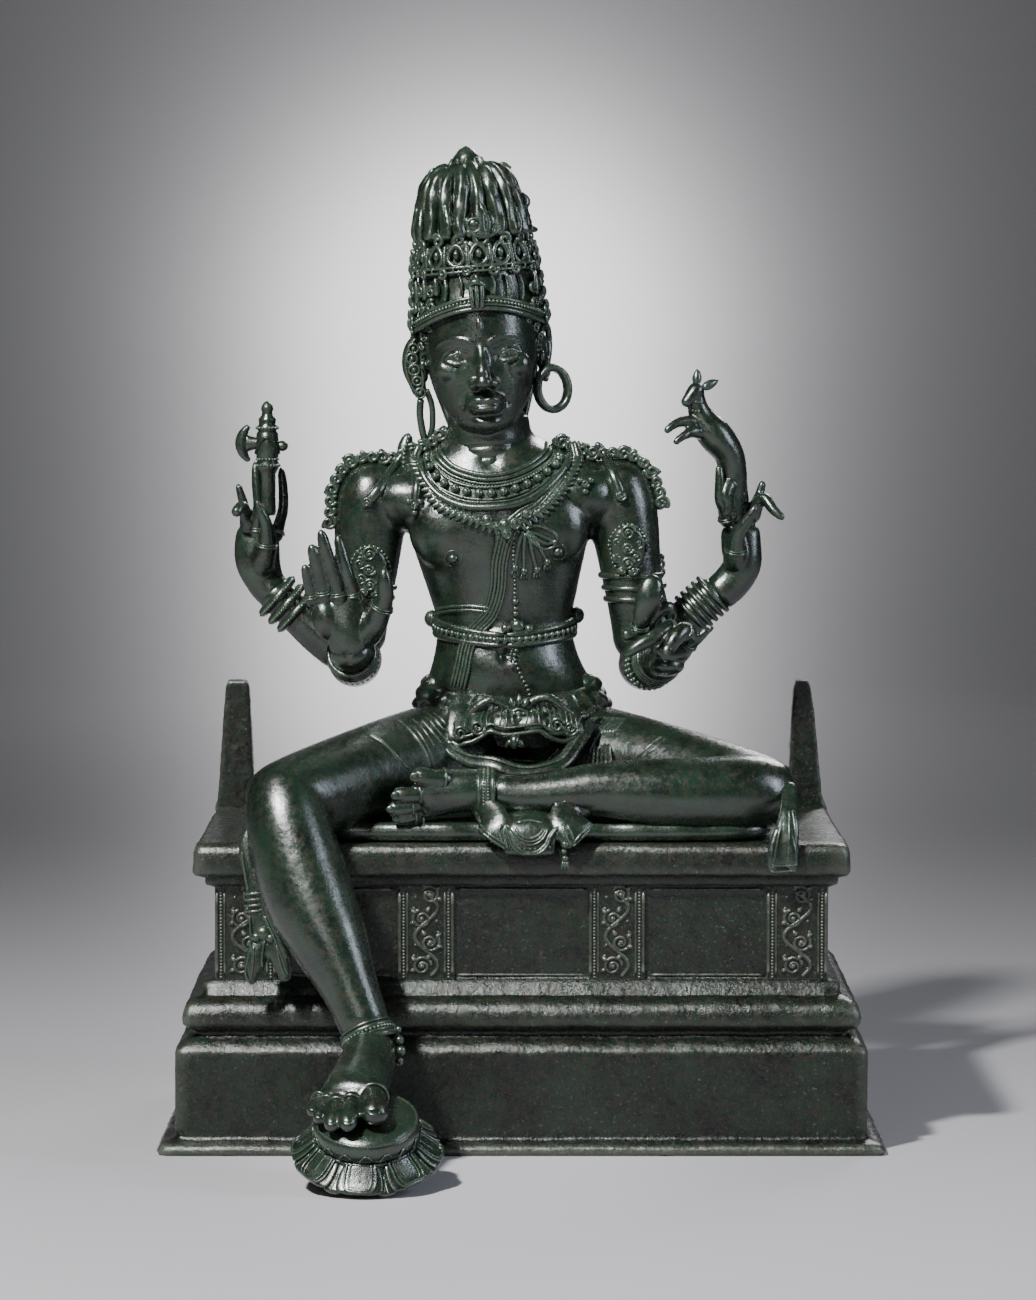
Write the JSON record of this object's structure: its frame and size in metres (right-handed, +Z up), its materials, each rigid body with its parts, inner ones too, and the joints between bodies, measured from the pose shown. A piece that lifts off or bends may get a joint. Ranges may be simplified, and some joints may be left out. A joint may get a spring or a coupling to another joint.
{
  "type": "seated shiva figure on plinth",
  "caption": "Cast bronze many-armed Shiva seated on a moulded plinth, a leg folded and a foot hanging on a lotus, with axe, antelope and tall crown of locks.",
  "frame": {"origin": "on the floor under the middle of the plinth, at the centre of its underside", "axes": "+Z up; the figure faces -Y; -X is the figure's right-hand side"},
  "size_m": [0.624, 0.5936, 0.8647],
  "materials": {
    "figure": "cast bronze, dark green-black patina, semi-gloss",
    "plinth": "cast bronze, dark brown-black patina with pale deposits, satin"
  },
  "bodies": {
    "root": {"figure": "figure", "plinth": "plinth"}
  },
  "joints": []
}
